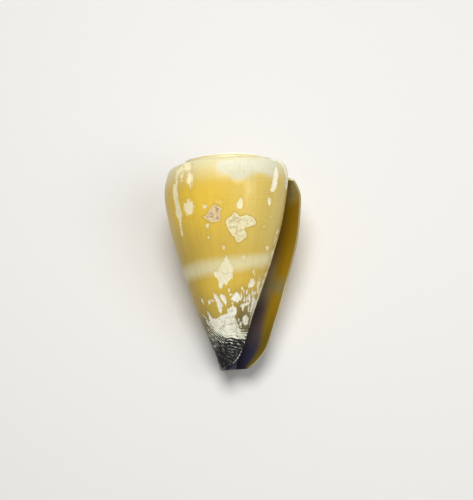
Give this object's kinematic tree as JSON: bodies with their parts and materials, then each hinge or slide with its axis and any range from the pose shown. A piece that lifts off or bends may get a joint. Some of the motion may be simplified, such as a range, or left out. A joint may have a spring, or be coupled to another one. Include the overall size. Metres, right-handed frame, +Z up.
{
  "type": "frigid cone shell",
  "caption": "Worn frigid cone shell, ochre yellow with a pale band, a dark base and white chalky patches, lying on its back with its narrow mouth up.",
  "frame": {"origin": "Centre of the shell's footprint, on the floor that it rests on.", "axes": "+Y runs along the shell to its spire, -Y to its narrow tip, +X to the outer lip, +Z up, the way the mouth faces."},
  "size_m": [0.0266, 0.0414, 0.0259],
  "materials": {
    "shell_lime": "worn lime shell, ochre yellow and slightly glossy, chalky white where it is eroded"
  },
  "bodies": {
    "root": {"shell": "shell_lime"}
  },
  "joints": []
}
